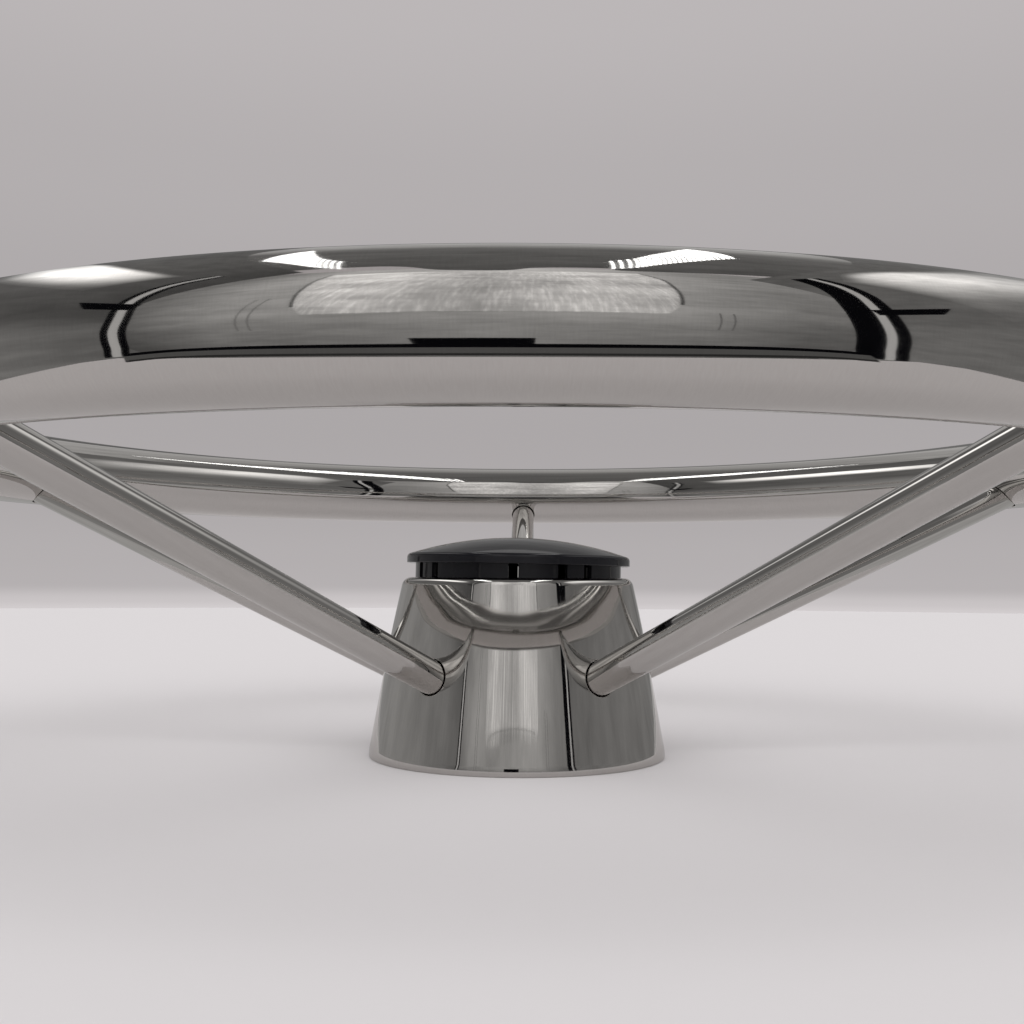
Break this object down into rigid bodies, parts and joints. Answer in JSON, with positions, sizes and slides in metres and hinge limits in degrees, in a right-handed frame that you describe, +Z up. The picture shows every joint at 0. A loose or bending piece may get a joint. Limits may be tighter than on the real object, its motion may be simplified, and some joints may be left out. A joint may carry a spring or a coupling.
{
  "type": "boat steering wheel",
  "caption": "Stainless boat steering wheel: a tube rim on slanted rod spokes, a turned cone hub and a black snap-in centre cap.",
  "frame": {"origin": "centre of the hub's base, on the plane that the wheel stands on", "axes": "+Z up the shaft line, from the hub's base towards the cap; +Y over the first spoke; the picture looks along +Y"},
  "size_m": [0.3937, 0.3936, 0.1042],
  "materials": {
    "polished_steel": "mirror-polished stainless steel",
    "turned_steel": "turned stainless steel, unpolished",
    "black_plastic": "gloss black moulded plastic"
  },
  "bodies": {
    "root": {"rim": "polished_steel", "spoke_1": "polished_steel", "spoke_2": "polished_steel", "spoke_3": "polished_steel", "spoke_4": "polished_steel", "spoke_5": "polished_steel", "hub_cone": "polished_steel", "hub_web": "turned_steel", "hub_boss": "turned_steel", "lock_washer": "turned_steel", "shaft_nut": "turned_steel", "centre_cap": "black_plastic"}
  },
  "joints": []
}
